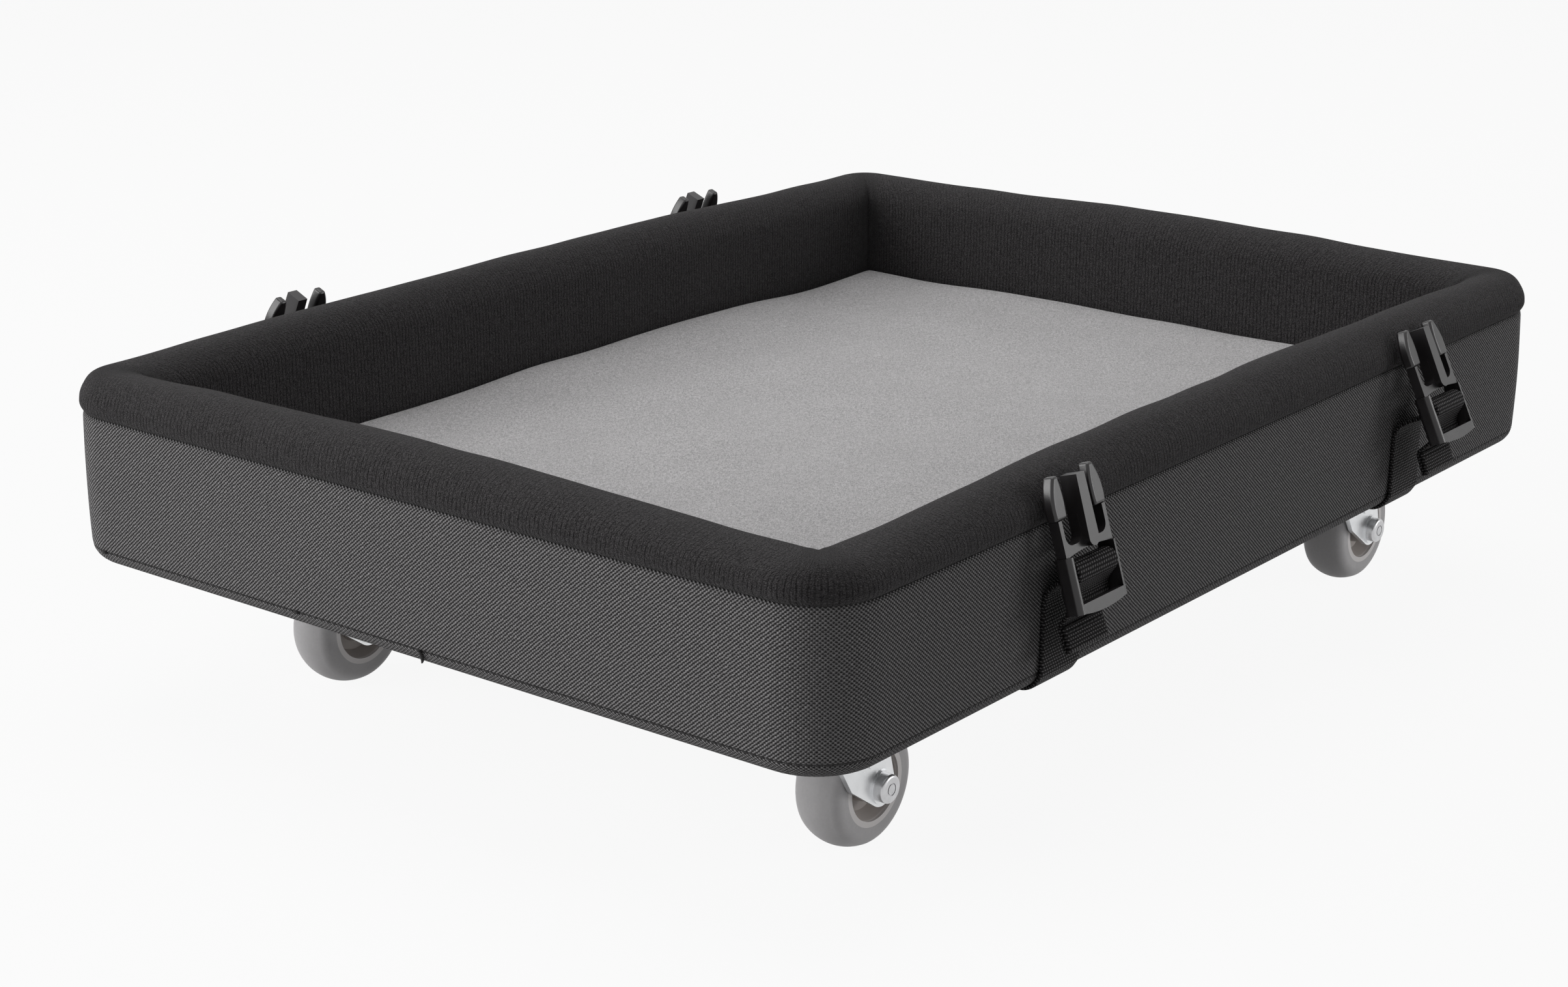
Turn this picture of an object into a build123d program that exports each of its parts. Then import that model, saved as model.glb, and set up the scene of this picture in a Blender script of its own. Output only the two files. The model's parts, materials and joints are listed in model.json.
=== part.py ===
"""A padded rolling tray: a fabric-cased, foam-walled tray on four swivel casters, with four buckle straps.

The frame has X along the tray, Y across it and Z up, with the origin on the floor under the tray's middle.
"""

import math
import os

from build123d import *

# Tray and its sewn cover
tray_length = 530.0
tray_width = 390.0
corner_radius = 27.0
cover_thickness = 1.5
lower_edge_radius = 8.0
hem_height = 6.5
casing_height = 61.5

# Board, wall padding and mat
board_thickness = 9.0
wall_thickness = 30.0
well_corner_radius = 6.0
lining_thickness = 2.0
roll_height = 19.3
roll_overhang = 2.2
roll_radius = 14.0
roll_inner_radius = 14.0
roll_tuck_radius = 4.0
floor_foam_thickness = 16.0
felt_thickness = 3.5
mat_gap = 1.0

# Wheel
wheel_diameter = 50.8
tread_width = 20.6
tread_radius = 16.0
shoulder_radius = 5.0
rim_radius = 16.2
rim_wall = 2.2
dish_radius = 11.5
web_thickness = 7.0
boss_radius = 6.5
boss_flare = 1.2

# Caster: swivel axes, fork, race and plate
caster_inset_x = 76.0
caster_inset_y = 62.0
trail = 18.0
fork_thickness = 2.2
crown_thickness = 2.5
crown_radius = 20.0
leg_top_width = 34.0
leg_bend_radius = 4.0
knee_back = 15.5
knee_rise = 6.0
knee_radius = 3.5
leg_rib_width = 5.0
leg_rib_length = 16.0
leg_rib_height = 0.7
eye_radius = 7.6
eye_collar_radius = 6.6
eye_collar_height = 0.8
tyre_clearance = 6.5
ball_diameter = 6.0
ball_count = 10
race_radius = 13.5
race_depth = 1.1
plate_length = 62.0
plate_width = 52.0
plate_thickness = 3.0
plate_corner_radius = 5.0
kingpin_diameter = 10.0
kingpin_head_diameter = 17.0
kingpin_head_height = 3.0
kingpin_top_height = 1.2

# Axle and its bush
axle_diameter = 6.0
axle_head_diameter = 11.0
axle_head_height = 3.6
axle_ring_diameter = 5.0
axle_ring_depth = 0.5
nut_flats = 10.0
nut_height = 6.0
bush_diameter = 9.0

# Fasteners that hold the caster plates to the board
bolt_spacing_x = 46.0
bolt_spacing_y = 36.0
bolt_diameter = 6.0
bolt_head_flats = 10.0
bolt_head_height = 4.0
tee_nut_barrel_diameter = 8.0
tee_nut_flange_diameter = 17.0
tee_nut_flange_thickness = 1.5

# Straps and buckles
strap_spacing = 266.0
webbing_width = 25.0
webbing_thickness = 1.6
anchor_height = 1.8
strap_hinge_height = 6.0
strap_release = 17.0
bar_diameter = 6.0
rail_width = 2.4
rail_depth = 7.2
rail_round = 2.0
rail_above_bar = 6.4
rail_below_bar = 14.0
lower_bar_height = 3.4
lower_bar_depth = 2.4
lower_bar_arch = 1.2
cross_bar_height = 3.6
cross_bar_arch = 1.0
frame_inset = 0.6
frame_depth = 4.2
slot_radius = 3.6
tongue_foot_width = 6.0
tongue_tip_width = 5.0
tongue_rise = 3.0
tongue_length = 23.5
arm_width = 2.0
arm_length = 9.6
prong_width = 5.8
prong_depth = 4.8
prong_length = 15.5
prong_catch = 0.8
prong_swell = 1.1
prong_tip_inset = 2.4
prong_tip_width = 2.8
prong_corner_radius = 1.1
prong_edge_radius = 1.2
tail_drop = 9.0
tail_fold_length = 8.5
tail_flare = 20.0

# Each strap holds its buckle's bar at its own height over the cover's bottom and its own lean, in degrees
bar_height = {"front_left": 46.0, "front_right": 46.0, "back_left": 51.0, "back_right": 51.0}
buckle_lean = {"front_left": 17.0, "front_right": 25.0, "back_left": 24.0, "back_right": 22.0}

# Clearances
running_clearance = 0.05
side_clearance = 0.4
body_gap = 0.5

# Heights, stacked up from the floor
axle_z = wheel_diameter / 2
crown_bottom = wheel_diameter + tyre_clearance
crown_top = crown_bottom + crown_thickness
ball_z = crown_top + ball_diameter / 2 - race_depth
plate_bottom = ball_z + ball_diameter / 2 - race_depth
plate_top = plate_bottom + plate_thickness
cover_bottom = plate_top
board_bottom = cover_bottom + cover_thickness
board_top = board_bottom + board_thickness
foam_top = board_top + floor_foam_thickness
felt_top = foam_top + felt_thickness
hem_z = cover_bottom + hem_height
seam_z = cover_bottom + casing_height
crest_z = seam_z + roll_height
hub_half_width = tread_width / 2 + body_gap
leg_inner = hub_half_width + side_clearance
leg_outer = leg_inner + fork_thickness

CORNERS = {
    "front_left": (-1, -1),
    "front_right": (1, -1),
    "back_left": (-1, 1),
    "back_right": (1, 1),
}


def swivel_axis(corner):
    """Where a caster's swivel axis stands in plan."""
    side_x, side_y = CORNERS[corner]
    return side_x * (tray_length / 2 - caster_inset_x), side_y * (tray_width / 2 - caster_inset_y)


def bolt_places():
    """The plan position of every caster bolt."""
    places = []
    for corner in CORNERS:
        x, y = swivel_axis(corner)
        for side_x, side_y in CORNERS.values():
            places.append((x + side_x * bolt_spacing_x / 2, y + side_y * bolt_spacing_y / 2))
    return places


def at_bolts(piece):
    """Copies of one fastener at every caster bolt."""
    return [Pos(x, y, 0) * piece for x, y in bolt_places()]


def upright(outline, low, high):
    """A plan outline raised from one height to another."""
    return Pos(0, 0, low) * extrude(outline, high - low)


def post(radius, low, high):
    """A round post on the Z axis."""
    return upright(Circle(radius), low, high)


def block(length, width, radius, low, high):
    """An upright block with rounded corners, centred in plan."""
    return upright(RectangleRounded(length, width, radius), low, high)


def between(solid, low, high):
    """The slice of a solid between two heights."""
    span = 2 * (tray_length + tray_width)
    return solid & upright(Rectangle(span, span), low, high)


def cover_form(inset, top):
    """The outside of the sewn cover drawn in by an inset, with its rounded lower edge."""
    form = block(
        tray_length - 2 * inset,
        tray_width - 2 * inset,
        corner_radius - inset,
        cover_bottom + inset,
        top,
    )
    return fillet(form.edges().group_by(Axis.Z)[0], lower_edge_radius - inset)


def well_form(growth, low, high):
    """The space inside the padded walls, grown outwards."""
    return block(
        tray_length - 2 * wall_thickness + 2 * growth,
        tray_width - 2 * wall_thickness + 2 * growth,
        well_corner_radius + growth,
        low,
        high,
    )


def padded_wall(skin):
    """The wall ring and its rolled rim, with a skin taken off the rolled and inner faces."""
    upstand = between(cover_form(cover_thickness, seam_z + skin), board_top, crest_z)
    overhang = roll_overhang - skin
    roll = block(
        tray_length + 2 * overhang,
        tray_width + 2 * overhang,
        corner_radius + overhang,
        seam_z + skin,
        crest_z - skin,
    )
    roll = fillet(roll.edges().group_by(Axis.Z)[-1], roll_radius - skin)
    roll = fillet(roll.edges().group_by(Axis.Z)[0], roll_tuck_radius - skin)
    ring = upstand + roll - well_form(skin, board_top - 1, crest_z + 1)
    crest = ring.faces().sort_by(Axis.Z)[-1]
    return fillet(crest.inner_wires()[0].edges(), roll_inner_radius - skin)


def cover_shell():
    """The whole sewn cover, an open-topped bag of even thickness."""
    return cover_form(0, seam_z) - cover_form(cover_thickness, seam_z + 1)


def casing():
    """The side band of the cover, from the hem's stitch line to the rim seam."""
    return between(cover_shell(), hem_z, seam_z)


def bottom_cover():
    """The bottom panel with its edge turned up to the stitch line, pierced for the caster bolts."""
    hole = post(bolt_diameter / 2 + running_clearance, cover_bottom - 1, board_bottom + 1)
    return between(cover_shell(), cover_bottom, hem_z) - at_bolts(hole)


def base_board():
    """The plywood board, counterbored on top for the tee nuts."""
    board = between(cover_form(cover_thickness, seam_z), board_bottom, board_top)
    barrel = post(tee_nut_barrel_diameter / 2, board_bottom - 1, board_top + 1)
    flange = post(tee_nut_flange_diameter / 2, board_top - tee_nut_flange_thickness, board_top + 1)
    return board - at_bolts(barrel + flange)


def wall_foam():
    """The foam core of the walls, cut at the corner mitres into four strips."""
    core = padded_wall(lining_thickness)
    half_x = tray_length / 2
    half_y = tray_width / 2
    reach = tray_length + tray_width
    inset = half_y - wall_thickness
    long_wedge = Polyline(
        (-(half_x - wall_thickness), -inset),
        (half_x - wall_thickness, -inset),
        (half_x - wall_thickness + reach, -inset - reach),
        (-(half_x - wall_thickness) - reach, -inset - reach),
        close=True,
    )
    wedge = upright(make_face(long_wedge), board_top - 1, crest_z + 1)
    back_wedge = Rot(0, 0, 180) * wedge
    ends = core - wedge - back_wedge
    left, right = ends.solids().sort_by(Axis.X)
    return {
        "wall_foam_front": core & wedge,
        "wall_foam_back": core & back_wedge,
        "wall_foam_left": left,
        "wall_foam_right": right,
    }


def lining():
    """The knitted skin over the rolled rim and down the inside of the walls."""
    return padded_wall(0) - padded_wall(lining_thickness)


def floor_foam():
    """The foam pad that lies on the board between the walls."""
    return well_form(-mat_gap / 2, board_top, foam_top)


def felt_mat():
    """The felt mat on the tray's floor."""
    return well_form(-mat_gap, foam_top, felt_top)


def hexagon(flats, low, high):
    """A hexagonal prism on the Z axis, sized across its flats."""
    return upright(RegularPolygon(flats / 2, 6, major_radius=False), low, high)


def caster_bolt():
    """One bolt, entered from below, with its end level with the tee nut's flange."""
    head = hexagon(bolt_head_flats, plate_bottom - bolt_head_height, plate_bottom)
    return head + post(bolt_diameter / 2, plate_bottom, board_top)


def tee_nut():
    """One tee nut, pressed into the board from above."""
    barrel = post(tee_nut_barrel_diameter / 2, board_bottom, board_top)
    flange = post(tee_nut_flange_diameter / 2, board_top - tee_nut_flange_thickness, board_top)
    bore = post(bolt_diameter / 2 + running_clearance, board_bottom - 1, board_top + 1)
    return barrel + flange - bore


def race_groove():
    """The ring that the swivel balls run in."""
    return Pos(0, 0, ball_z) * Torus(race_radius, ball_diameter / 2 + running_clearance)


def caster_plate():
    """The mounting plate, with the upper ball race, four bolt holes and the countersunk kingpin hole."""
    plate = block(plate_length, plate_width, plate_corner_radius, plate_bottom, plate_top)
    bolt_hole = post(bolt_diameter / 2 + running_clearance, plate_bottom - 1, plate_top + 1)
    for side_x, side_y in CORNERS.values():
        plate -= Pos(side_x * bolt_spacing_x / 2, side_y * bolt_spacing_y / 2, 0) * bolt_hole
    return plate - race_groove() - kingpin(0)


def kingpin(clearance):
    """The rivet that the fork swivels on, grown by a clearance, with a head above and below."""
    shank = post(kingpin_diameter / 2 + clearance, crown_bottom - body_gap, plate_top)
    top_radius = kingpin_diameter / 2 + kingpin_top_height + clearance
    top_place = Pos(0, 0, plate_top - kingpin_top_height / 2)
    top = top_place * Cone(kingpin_diameter / 2, top_radius, kingpin_top_height)
    head_top = crown_bottom - running_clearance + clearance
    head_bottom = head_top - kingpin_head_height
    head = post(kingpin_head_diameter / 2, head_bottom, head_top)
    head = fillet(head.edges().group_by(Axis.Z)[0], kingpin_head_height / 2)
    return shank + top + head


def swivel_balls():
    """The balls between the fork's crown and the plate."""
    ball = Pos(race_radius, 0, ball_z) * Sphere(ball_diameter / 2)
    return [Rot(0, 0, step * 360 / ball_count) * ball for step in range(ball_count)]


def crosswise(outline, half_width):
    """A side outline, drawn as X across and Z up, spread evenly to both sides of Y = 0."""
    return extrude(Plane.XZ * outline, half_width, both=True)


def fork():
    """The pressed fork: a round crown with the lower race, and two legs that taper down to the axle."""
    eye = Pos(trail, axle_z) * Circle(eye_radius)
    knee = Pos(trail - knee_back, axle_z + knee_rise) * Circle(knee_radius)
    crown_mid = (crown_bottom + crown_top) / 2
    shoulder = Pos(0, crown_mid) * Rectangle(leg_top_width, crown_thickness)
    side = make_hull(eye.edges() + knee.edges() + shoulder.edges())
    outer = crosswise(side, leg_outer)
    outer = fillet(outer.edges().filter_by(Axis.X).group_by(Axis.Z)[-1], leg_bend_radius)
    channel_span = 4 * (leg_top_width + trail)
    channel = Box(channel_span, 2 * leg_inner, 2 * crown_bottom)
    upper_edges = channel.edges().filter_by(Axis.X).group_by(Axis.Z)[-1]
    channel = fillet(upper_edges, max(leg_bend_radius - fork_thickness, 0.5))
    crown = post(crown_radius, crown_bottom, crown_top)
    collar = Pos(trail, 0, axle_z) * Rot(90, 0, 0) * Cylinder(
        eye_collar_radius, 2 * (leg_outer + eye_collar_height)
    )
    lift = math.degrees(math.atan2(crown_mid - axle_z, -trail))
    rib_place = Pos(trail / 2, (axle_z + crown_mid) / 2) * Rot(0, 0, lift)
    rib = crosswise(rib_place * SlotOverall(leg_rib_length, leg_rib_width), leg_outer + leg_rib_height)
    axle_hole = Pos(trail, 0, axle_z) * Rot(90, 0, 0) * Cylinder(
        axle_diameter / 2 + running_clearance, 4 * leg_outer
    )
    pin_hole = post(kingpin_diameter / 2 + running_clearance, crown_bottom - 1, crown_top + 1)
    body = outer + collar + rib - channel + crown
    return body - axle_hole - pin_hole - race_groove()


def lathe(outline):
    """An outline, drawn as radius across and axle length up, turned about the axle."""
    return Pos(trail, 0, axle_z) * revolve(outline, Axis.Y)


def axle_bolt():
    """The axle, with a round ringed head at the front."""
    grip = leg_outer + eye_collar_height
    radius = axle_diameter / 2
    head_radius = axle_head_diameter / 2
    head_end = grip + axle_head_height
    end = grip + nut_height + 1
    outline = Polyline(
        (0, -head_end),
        (head_radius, -head_end),
        (head_radius, -grip),
        (radius, -grip),
        (radius, end),
        (0, end),
        close=True,
    )
    bolt = lathe(make_face(outline))
    rim = bolt.edges().filter_by(GeomType.CIRCLE).sort_by(Axis.Y)[0]
    bolt = fillet(rim, axle_head_height / 3)
    ring_outer = axle_ring_diameter / 2
    ring_place = Pos(ring_outer - axle_ring_depth / 2, -head_end)
    ring = ring_place * Rectangle(axle_ring_depth, 2 * axle_ring_depth)
    return bolt - lathe(ring)


def axle_nut():
    """The lock nut on the back end of the axle."""
    grip = leg_outer + eye_collar_height
    place = Pos(trail, grip + nut_height, axle_z) * Rot(90, 0, 0)
    nut = hexagon(nut_flats, 0, nut_height)
    nut -= post(axle_diameter / 2 + running_clearance, -1, nut_height + 1)
    return place * nut


def axle_bush():
    """The steel bush clamped between the legs, which the hub turns on."""
    inner = axle_diameter / 2 + running_clearance
    outer = bush_diameter / 2
    outline = Pos((inner + outer) / 2, 0) * Rectangle(outer - inner, 2 * leg_inner)
    return lathe(outline)


def hub():
    """The moulded hub: a rim, a thin web that leaves a dish on each side, and a flared boss."""
    bore = bush_diameter / 2 + running_clearance
    half = tread_width / 2
    quarter = [
        (bore, hub_half_width),
        (boss_radius, hub_half_width),
        (boss_radius + boss_flare, web_thickness / 2),
        (dish_radius, web_thickness / 2),
        (rim_radius - rim_wall, half - rim_wall / 2),
        (rim_radius - rim_wall, half),
        (rim_radius, half),
    ]
    mirrored = [(radius, -along) for radius, along in reversed(quarter)]
    return lathe(make_face(Polyline(*quarter, *mirrored, close=True)))


def tyre():
    """The tyre, with flat side walls, and round shoulders that run on into a crowned tread."""
    half = tread_width / 2
    outer = wheel_diameter / 2
    shoulder_out = half - shoulder_radius
    reach = tread_radius - shoulder_radius
    meeting = math.asin(shoulder_out / reach)
    shoulder_centre = outer - tread_radius + reach * math.cos(meeting)

    def shoulder(angle, side):
        return (
            shoulder_centre + shoulder_radius * math.cos(angle),
            side * (shoulder_out + shoulder_radius * math.sin(angle)),
        )

    middle = (meeting + math.pi / 2) / 2
    front_wall = Line((rim_radius, -half), (shoulder_centre, -half))
    front_shoulder = ThreePointArc(front_wall @ 1, shoulder(middle, -1), shoulder(meeting, -1))
    tread = ThreePointArc(front_shoulder @ 1, (outer, 0), shoulder(meeting, 1))
    back_shoulder = ThreePointArc(tread @ 1, shoulder(middle, 1), (shoulder_centre, half))
    back_wall = Line(back_shoulder @ 1, (rim_radius, half))
    seat = Line(back_wall @ 1, front_wall @ 0)
    return lathe(make_face(front_wall + front_shoulder + tread + back_shoulder + back_wall + seat))


# Strap geometry in a side view: out from the casing's face, and up from the floor
belly_z = crest_z - roll_radius
hinge_out = body_gap + webbing_thickness / 2
hinge_z = cover_bottom + strap_hinge_height
loop_radius = bar_diameter / 2 + running_clearance + webbing_thickness / 2


def bar_z(corner):
    """The height of a buckle's bar."""
    return cover_bottom + bar_height[corner]


def bar_out(corner):
    """How far a buckle's bar stands out when the buckle leans back against the round of the rim."""
    angle = math.radians(buckle_lean[corner])
    reach = roll_radius + body_gap + prong_depth / 2 + (belly_z - bar_z(corner)) * math.sin(angle)
    return roll_overhang - roll_radius + reach / math.cos(angle)


def strap_point(corner, behind, along):
    """A side-view point given from the buckle's bar: towards its back, and up along the lean."""
    angle = math.radians(buckle_lean[corner])
    return (
        bar_out(corner) - behind * math.cos(angle) - along * math.sin(angle),
        bar_z(corner) - behind * math.sin(angle) + along * math.cos(angle),
    )


def ribbon(points):
    """A side view of webbing along a few points, with rounded ends and joints."""
    strip = Sketch()
    for start, end in zip(points, points[1:]):
        strip += SlotCenterToCenter(math.dist(start, end), webbing_thickness).moved(
            Location(
                ((start[0] + end[0]) / 2, (start[1] + end[1]) / 2, 0),
                (0, 0, math.degrees(math.atan2(end[1] - start[1], end[0] - start[0]))),
            )
        )
    return strip


def across_strap(side_view):
    """A side view spread over the webbing's width, standing off the front of the tray."""
    outline = Plane(origin=(0, -tray_width / 2, 0), x_dir=(0, -1, 0), z_dir=(-1, 0, 0)) * side_view
    return extrude(outline, webbing_width / 2, both=True)


def webbing(corner):
    """One strap: up the casing from its sewn end, round the buckle's bar and down to a folded tail."""
    layer = webbing_thickness + body_gap
    guide = rail_below_bar - lower_bar_height / 2
    release = (hinge_out, bar_z(corner) - strap_release)
    standing = [(hinge_out, hinge_z), release, strap_point(corner, loop_radius, 0)]
    tail_top = strap_point(corner, loop_radius - layer / 2, -guide)
    tail_aim = (hinge_out + layer, hinge_z)
    share = tail_drop / math.dist(tail_top, tail_aim)
    tail_mid = (
        tail_top[0] + share * (tail_aim[0] - tail_top[0]),
        tail_top[1] + share * (tail_aim[1] - tail_top[1]),
    )
    flare = math.radians(tail_flare)
    outward = (math.sin(flare), -math.cos(flare))
    tail_end = (tail_mid[0] + tail_fold_length * outward[0], tail_mid[1] + tail_fold_length * outward[1])
    fold_offset = (-outward[1] * webbing_thickness, outward[0] * webbing_thickness)
    fold_top = (tail_mid[0] + fold_offset[0], tail_mid[1] + fold_offset[1])
    fold_end = (tail_end[0] + fold_offset[0], tail_end[1] + fold_offset[1])
    tail = [
        strap_point(corner, -loop_radius, 0),
        strap_point(corner, -loop_radius / 2, -loop_radius),
        tail_top,
        tail_mid,
        tail_end,
    ]
    centre = Pos(bar_out(corner), bar_z(corner))
    loop = centre * (
        Circle(loop_radius + webbing_thickness / 2) - Circle(loop_radius - webbing_thickness / 2)
    )
    bar = centre * Circle(bar_diameter / 2 + running_clearance)
    fold = [tail_end, fold_end, fold_top]
    return across_strap(ribbon(standing) + ribbon(tail) + ribbon(fold) + loop - bar)


def strap_anchor():
    """The sewn end of one strap, flat against the hem below the fold that it swings on."""
    low = cover_bottom + webbing_thickness / 2
    out = webbing_thickness / 2
    return across_strap(ribbon([(out, low), (out, low + anchor_height)]))


def prong():
    """One leaf-shaped prong head on the right-hand arm, with the catch at its foot."""
    arm_side = webbing_width / 2 + body_gap + rail_width - frame_inset
    foot = rail_above_bar + cross_bar_height + arm_length
    tip = foot + prong_length
    belly = foot + prong_length / 3
    outer_foot = arm_side + prong_catch
    inner_foot = arm_side - prong_width
    outer_tip = arm_side - prong_tip_inset
    outer_side = ThreePointArc((outer_foot, foot), (arm_side + prong_swell, belly), (outer_tip, tip))
    crown = Line(outer_side @ 1, (outer_tip - prong_tip_width, tip))
    inner_side = ThreePointArc(crown @ 1, (inner_foot - prong_swell / 2, belly), (inner_foot, foot))
    catch = Line(inner_side @ 1, outer_side @ 0)
    outline = make_face(outer_side + crown + inner_side + catch)
    outline = fillet(outline.vertices(), prong_corner_radius)
    leaf = extrude(Plane.XZ * outline, prong_depth / 2, both=True)
    front_edges = leaf.edges().group_by(Axis.Y)[0]
    back_edges = leaf.edges().group_by(Axis.Y)[-1]
    return fillet(front_edges + back_edges, prong_edge_radius)


def buckle_frame():
    """The thin upper frame: two arms beside round-bottomed slots, on an arched cross bar."""
    half = webbing_width / 2 + body_gap + rail_width - frame_inset
    low = rail_above_bar
    slot_low = low + cross_bar_height
    top = slot_low + arm_length
    span = half - arm_width - tongue_foot_width / 2
    outline = Pos(0, (low + top) / 2) * Rectangle(2 * half, top - low)
    slot = RectangleRounded(span, 2 * arm_length, slot_radius)
    slot_x = (half - arm_width + tongue_foot_width / 2) / 2
    outline -= Pos(slot_x, slot_low + arm_length) * slot
    outline -= Pos(-slot_x, slot_low + arm_length) * slot
    inner = webbing_width / 2 + body_gap
    arch = ThreePointArc((-inner, low), (0, low + cross_bar_arch), (inner, low))
    outline -= make_face(arch + Line(arch @ 1, arch @ 0))
    return extrude(Plane.XZ * outline, frame_depth / 2, both=True)


def tongue():
    """The middle guide, round-footed on the cross bar, tapering up and standing proud of the frame."""
    radius = tongue_foot_width / 2
    foot = rail_above_bar + cross_bar_arch + radius
    tip = rail_above_bar + cross_bar_height + tongue_length
    round_foot = ThreePointArc((-radius, foot), (0, foot - radius), (radius, foot))
    sides = Polyline(
        (radius, foot), (tongue_tip_width / 2, tip), (-tongue_tip_width / 2, tip), (-radius, foot)
    )
    depth = frame_depth + tongue_rise
    blade = extrude(Plane.XZ * make_face(round_foot + sides), depth / 2, both=True)
    return Pos(0, -tongue_rise / 2, 0) * blade


def buckle():
    """The male half of a side-release buckle, drawn upright about its bar with its front at -Y."""
    inner = webbing_width / 2 + body_gap
    half = inner + rail_width
    rail = Box(rail_width, rail_depth, rail_above_bar + rail_below_bar)
    rail = fillet(rail.edges().filter_by(Axis.Z).group_by(Axis.X)[-1], rail_round)
    rail = Pos(inner + rail_width / 2, 0, (rail_above_bar - rail_below_bar) / 2) * rail
    lower_edge = ThreePointArc((-inner, 0), (0, -lower_bar_arch), (inner, 0))
    upper_edge = Polyline((inner, 0), (inner, lower_bar_height), (-inner, lower_bar_height), (-inner, 0))
    lower_bar = extrude(Plane.XZ * make_face(lower_edge + upper_edge), lower_bar_depth / 2, both=True)
    lower_bar = Pos(0, -(rail_depth - lower_bar_depth) / 2, -rail_below_bar) * lower_bar
    bar = Rot(0, 90, 0) * Cylinder(bar_diameter / 2, 2 * half - rail_width)
    right = rail + prong()
    return right + mirror(right, Plane.YZ) + buckle_frame() + tongue() + lower_bar + bar


def buckle_in_place(corner):
    """The buckle leaning back against the rolled rim, on the front of the tray."""
    place = Pos(0, -tray_width / 2 - bar_out(corner), bar_z(corner))
    return place * Rot(-buckle_lean[corner], 0, 0) * buckle()


def at_caster(corner, piece):
    """A caster piece moved to its swivel axis."""
    x, y = swivel_axis(corner)
    return Pos(x, y, 0) * piece


def at_strap(corner, piece):
    """A strap piece moved along its side of the tray, and turned round for the back."""
    side_x, side_y = CORNERS[corner]
    turn = 0 if side_y < 0 else 180
    return Pos(side_x * strap_spacing / 2, 0, 0) * Rot(0, 0, turn) * piece


def gathered(pieces):
    """Several separate solids as one node."""
    solids = []
    for piece in pieces:
        solids.extend(piece.solids())
    return Compound(children=solids)


def nodes():
    """Every piece of the tray by name."""
    made = {
        "base_board": base_board(),
        "bottom_cover": bottom_cover(),
        "casing": casing(),
        "lining": lining(),
        "floor_foam": floor_foam(),
        "felt_mat": felt_mat(),
        "caster_bolts": gathered(at_bolts(caster_bolt())),
        "tee_nuts": gathered(at_bolts(tee_nut())),
        "strap_anchors": gathered(at_strap(corner, strap_anchor()) for corner in CORNERS),
    }
    made.update(wall_foam())
    caster = {
        "caster_plate": caster_plate(),
        "kingpin": kingpin(0),
        "swivel_balls": gathered(swivel_balls()),
        "fork": fork(),
        "axle_bolt": axle_bolt(),
        "axle_nut": axle_nut(),
        "axle_bush": axle_bush(),
        "hub": hub(),
        "tyre": tyre(),
    }
    for corner in CORNERS:
        for name, piece in caster.items():
            made[f"{name}_{corner}"] = at_caster(corner, piece)
        made[f"webbing_{corner}"] = at_strap(corner, webbing(corner))
        made[f"buckle_{corner}"] = at_strap(corner, buckle_in_place(corner))
    return made


os.makedirs("parts", exist_ok=True)
for node, solid in nodes().items():
    export_step(solid, f"parts/{node}.step")
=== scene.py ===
"""Looks of a padded rolling tray on four swivel casters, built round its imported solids."""

import json
import math

import bmesh
import bpy
from bpy.props import FloatProperty, FloatVectorProperty, PointerProperty
from bpy.types import Operator, Panel, PropertyGroup
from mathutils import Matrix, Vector, noise


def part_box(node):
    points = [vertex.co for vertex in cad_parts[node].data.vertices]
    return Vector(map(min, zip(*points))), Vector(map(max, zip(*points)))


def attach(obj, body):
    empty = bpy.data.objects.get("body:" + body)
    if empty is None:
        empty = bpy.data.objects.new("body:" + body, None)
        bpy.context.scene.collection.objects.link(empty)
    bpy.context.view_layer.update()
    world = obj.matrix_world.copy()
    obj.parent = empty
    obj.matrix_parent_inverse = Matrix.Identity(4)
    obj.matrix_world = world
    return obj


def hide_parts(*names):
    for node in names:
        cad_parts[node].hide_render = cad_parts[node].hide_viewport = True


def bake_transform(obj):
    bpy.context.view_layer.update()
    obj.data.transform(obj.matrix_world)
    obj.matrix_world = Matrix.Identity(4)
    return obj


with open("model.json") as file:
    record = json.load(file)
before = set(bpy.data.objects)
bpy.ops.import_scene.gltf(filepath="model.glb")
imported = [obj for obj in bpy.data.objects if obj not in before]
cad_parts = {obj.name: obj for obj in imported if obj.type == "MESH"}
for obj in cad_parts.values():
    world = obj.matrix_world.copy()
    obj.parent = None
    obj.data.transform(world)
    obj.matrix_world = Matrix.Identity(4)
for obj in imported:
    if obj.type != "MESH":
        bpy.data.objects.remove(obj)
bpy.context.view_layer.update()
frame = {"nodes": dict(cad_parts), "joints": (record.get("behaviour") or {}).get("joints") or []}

bl_info = {
    "name": "Padded rolling tray",
    "version": (1, 0, 0),
    "blender": (4, 5, 0),
    "location": "3D View > Sidebar > Tray",
    "description": "Cloth, webbing and finishes of a padded rolling tray on casters",
    "category": "Object",
}

MM = 0.001
TURN = 2 * math.pi
CORNERS = ("front_left", "front_right", "back_left", "back_right")
JOINT_AT = {joint["name"]: Vector(joint["pos_m"]) for joint in frame["joints"]}

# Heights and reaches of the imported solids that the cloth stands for
CASING_LOW, CASING_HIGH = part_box("casing")
COVER_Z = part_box("bottom_cover")[0].z
LINING_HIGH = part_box("lining")[1]
FELT_LOW, FELT_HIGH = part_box("felt_mat")
BOARD_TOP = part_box("base_board")[1].z
HALF_LENGTH = CASING_HIGH.x
HALF_WIDTH = CASING_HIGH.y
HEM_Z = CASING_LOW.z
SEAM_Z = CASING_HIGH.z
CREST_Z = LINING_HIGH.z
OVERHANG = LINING_HIGH.x - HALF_LENGTH


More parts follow.
